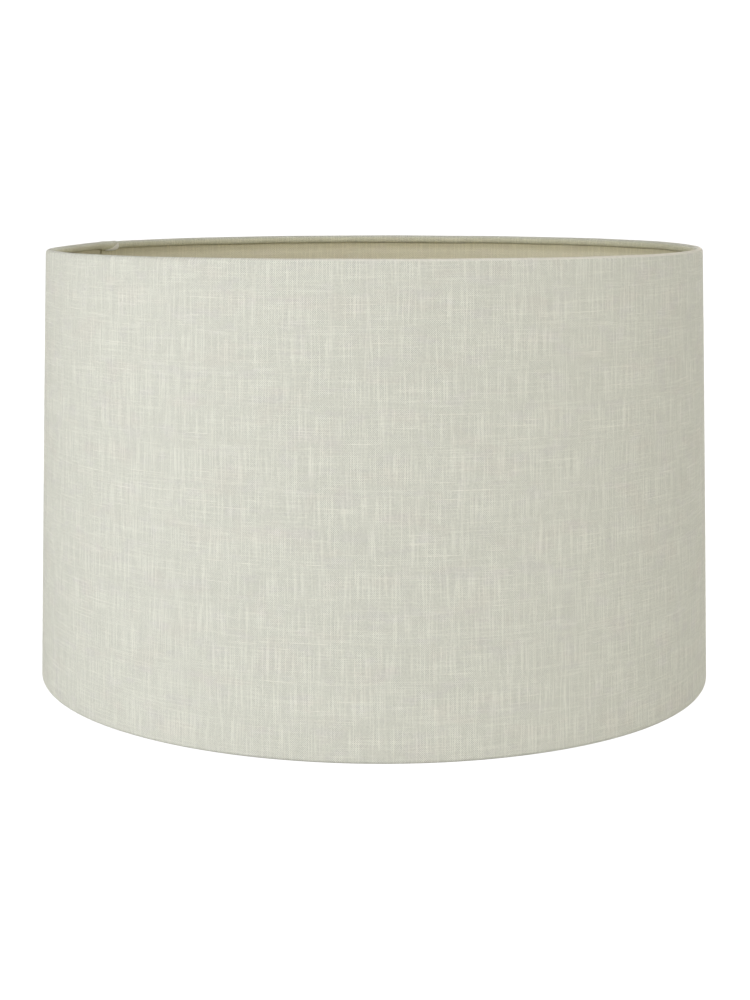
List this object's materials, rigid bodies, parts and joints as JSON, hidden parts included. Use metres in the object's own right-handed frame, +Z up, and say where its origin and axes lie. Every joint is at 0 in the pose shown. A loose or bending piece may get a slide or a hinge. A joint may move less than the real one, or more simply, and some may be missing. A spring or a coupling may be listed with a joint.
{
  "type": "drum lamp shade",
  "caption": "Slightly tapered linen drum lamp shade with rolled hems over wire rings, a recessed three-arm fitter and a lift-out reducer ring.",
  "frame": {"origin": "centre of the circle that the lower rim stands on", "axes": "+Z up along the shade's axis, from the fitter end to the open upper rim; the first fitter arm points to +Y, and the vertical seam is at 156 degrees from +X"},
  "size_m": [0.4499, 0.45, 0.284],
  "materials": {
    "linen": "undyed slub linen, plain weave",
    "lining_weave": "plain weave, matt",
    "panel_film": "white laminated sheet",
    "clear_tape": "double-sided tape",
    "coated_wire": "white powder coat",
    "coated_steel": "white powder coat",
    "moulded_plastic": "white moulded"
  },
  "bodies": {
    "shade": {"linen_cover": "linen", "seam_tape": "clear_tape", "backing_panel": "panel_film", "inner_lining": "lining_weave", "top_ring": "coated_wire", "bottom_ring": "coated_wire", "top_ring_tape": "clear_tape", "bottom_ring_tape": "clear_tape", "fitter_arm_1": "coated_wire", "fitter_arm_2": "coated_wire", "fitter_arm_3": "coated_wire", "fitter_ring": "coated_steel"},
    "reducer": {"reducer_ring": "moulded_plastic"}
  },
  "joints": [
    {"name": "reducer_lift", "type": "slide", "parent": "shade", "child": "reducer", "axis": [0, 0, 1], "range_m": [0, 0.05]}
  ]
}
